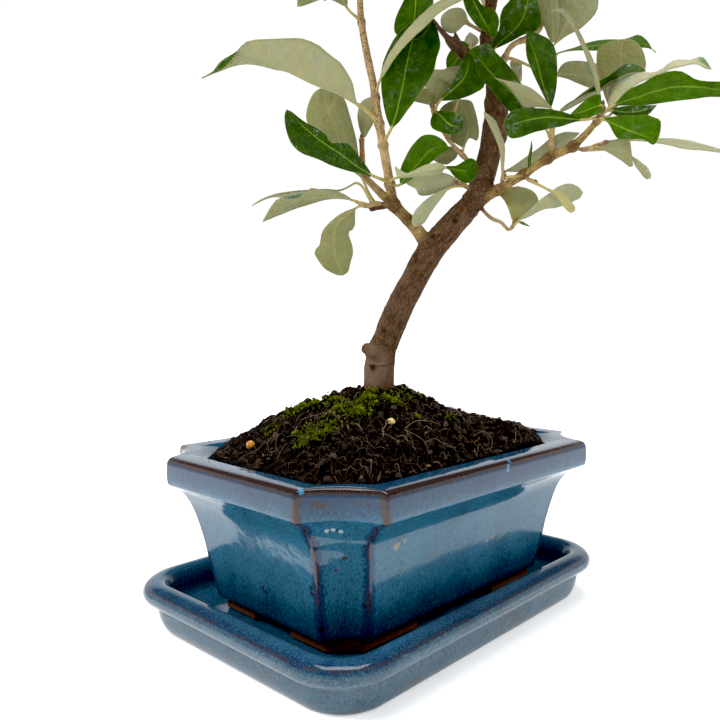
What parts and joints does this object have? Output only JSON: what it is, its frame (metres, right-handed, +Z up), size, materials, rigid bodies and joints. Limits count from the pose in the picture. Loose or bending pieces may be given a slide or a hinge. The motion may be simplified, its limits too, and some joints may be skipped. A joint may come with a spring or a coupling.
{
  "type": "potted bonsai tree",
  "caption": "Small silverberry bonsai with a curved trunk and two-sided leaves, in a blue glazed rectangular pot with indented corners on a matching saucer.",
  "frame": {"origin": "middle of the pot's footprint, on the saucer's flat underside", "axes": "+Z up along the tree, +X along the pot's long side, +Y along its short side; the pictured corner of the pot points to -X and -Y"},
  "size_m": [0.1848, 0.1744, 0.3074],
  "materials": {
    "blue_glaze": "gloss, mottled blue",
    "potting_soil": "rough, damp and fibrous",
    "bark": "rough bark",
    "leaf": "dark green gloss above, silver below",
    "fertiliser": "gloss amber coating",
    "drain_mesh_plastic": "matt"
  },
  "bodies": {
    "root": {"saucer": "blue_glaze", "pot": "blue_glaze", "drain_mesh_left": "drain_mesh_plastic", "drain_mesh_right": "drain_mesh_plastic", "soil": "potting_soil", "fertiliser_pellet_1": "fertiliser", "fertiliser_pellet_2": "fertiliser", "trunk": "bark", "leader_shoot": "leaf", "left_side_shoot": "leaf", "left_low_shoot": "leaf", "inner_shoot": "leaf", "low_inner_shoot": "leaf", "right_tip_shoot": "leaf", "right_upright_shoot": "leaf", "right_side_shoot": "leaf", "right_base_shoot": "leaf", "right_hanging_shoot": "leaf", "right_mid_shoot": "leaf", "upper_left_shoot": "leaf", "upper_back_shoot": "leaf", "upper_right_shoot": "leaf", "crown_top_shoot": "leaf", "crown_left_shoot": "leaf", "crown_right_shoot": "leaf", "crown_front_shoot": "leaf", "crown_back_shoot": "leaf"}
  },
  "joints": []
}
